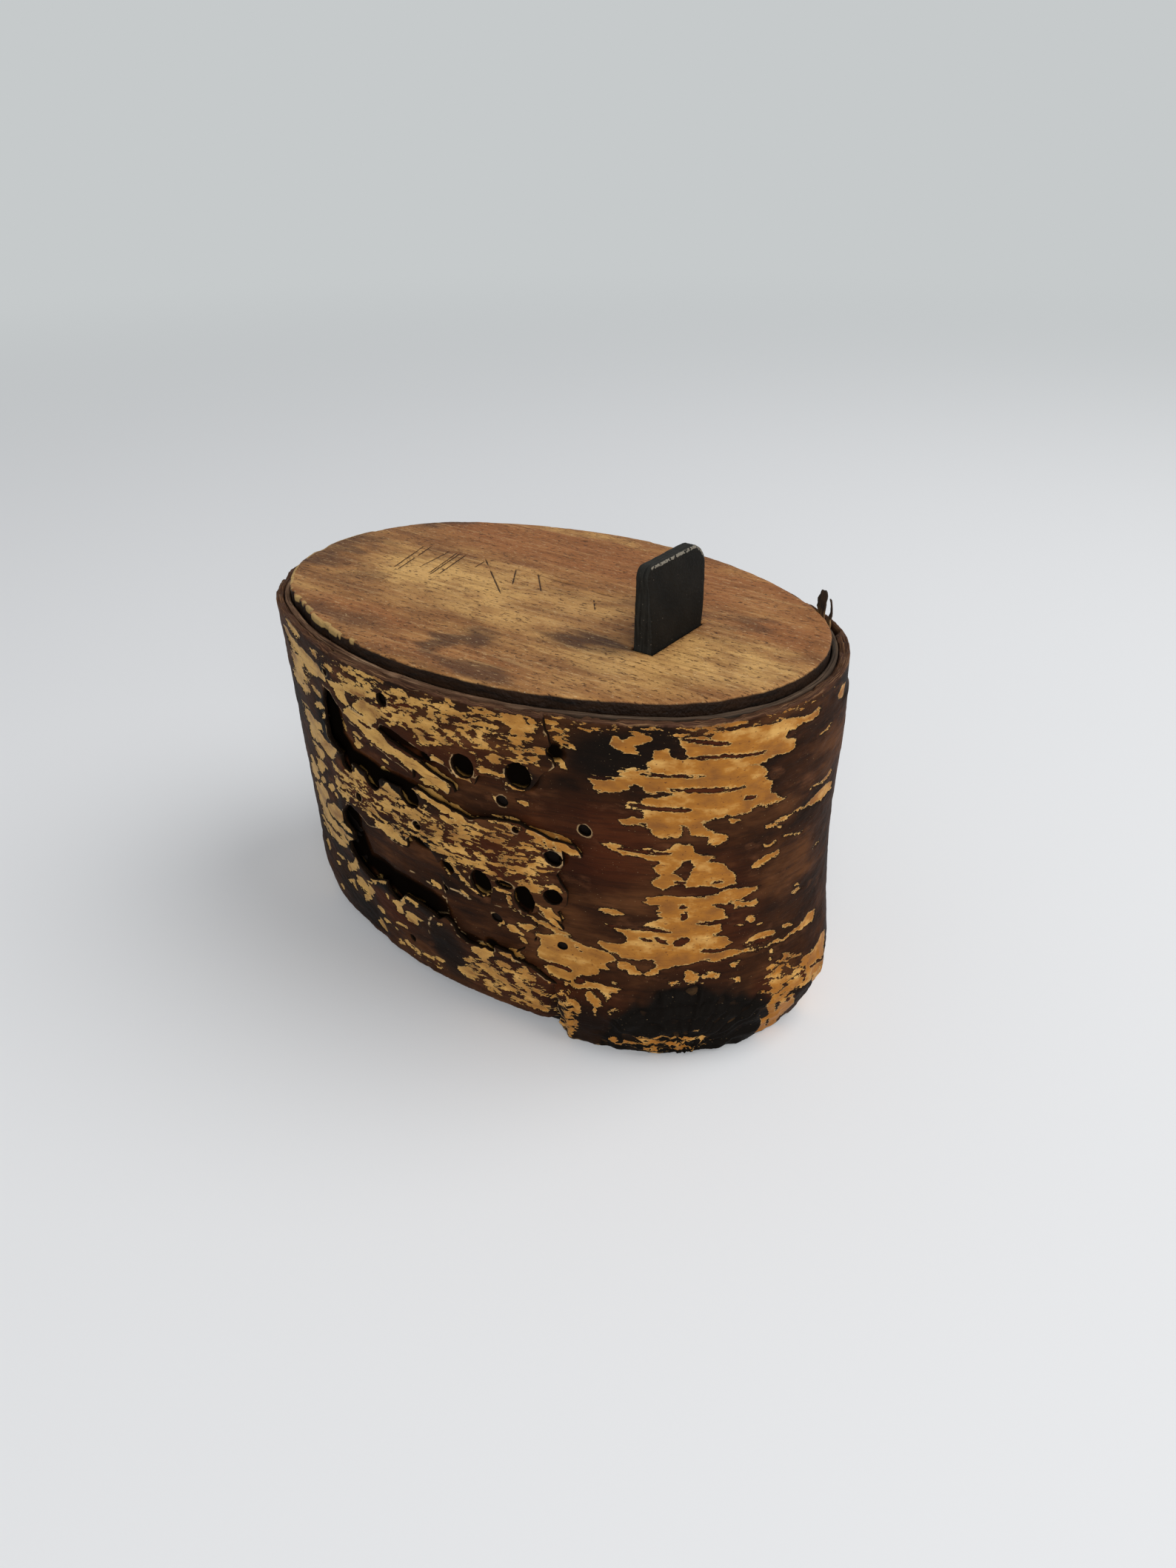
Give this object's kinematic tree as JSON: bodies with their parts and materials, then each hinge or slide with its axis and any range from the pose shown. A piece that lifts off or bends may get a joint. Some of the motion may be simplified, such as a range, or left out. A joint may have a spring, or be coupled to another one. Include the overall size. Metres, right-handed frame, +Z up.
{
  "type": "bark box",
  "caption": "Oval birch-bark box with a tongue-locked outer wrap over a bark liner, a pegged wooden bottom board and a lift-off plug lid with a leather tab.",
  "frame": {"origin": "on the table, under the middle of the box's bounding box", "axes": "+Z up, the way the lid lifts off; +X along the oval, towards the leather tab's end; -Y is the front, with the wrap's lock"},
  "size_m": [0.1497, 0.0996, 0.1082],
  "materials": {
    "outer_bark": "satin",
    "inner_bark": "matt",
    "bottom_wood": "matt",
    "peg_wood": "matt",
    "lid_wood": "satin",
    "tab_leather": "matt",
    "torn_bark": "matt"
  },
  "bodies": {
    "box": {"outer_bark": "outer_bark", "inner_bark": "inner_bark", "bottom_board": "bottom_wood", "bottom_pegs": "peg_wood", "rim_strip_wide": "torn_bark", "rim_strip_thin": "torn_bark"},
    "lid": {"lid_board": "lid_wood", "handle_tab": "tab_leather", "tab_peg": "peg_wood"}
  },
  "joints": [
    {"name": "lid_lift", "type": "slide", "parent": "box", "child": "lid", "axis": [0, 0, 1], "range_m": [0, 0.1]}
  ]
}
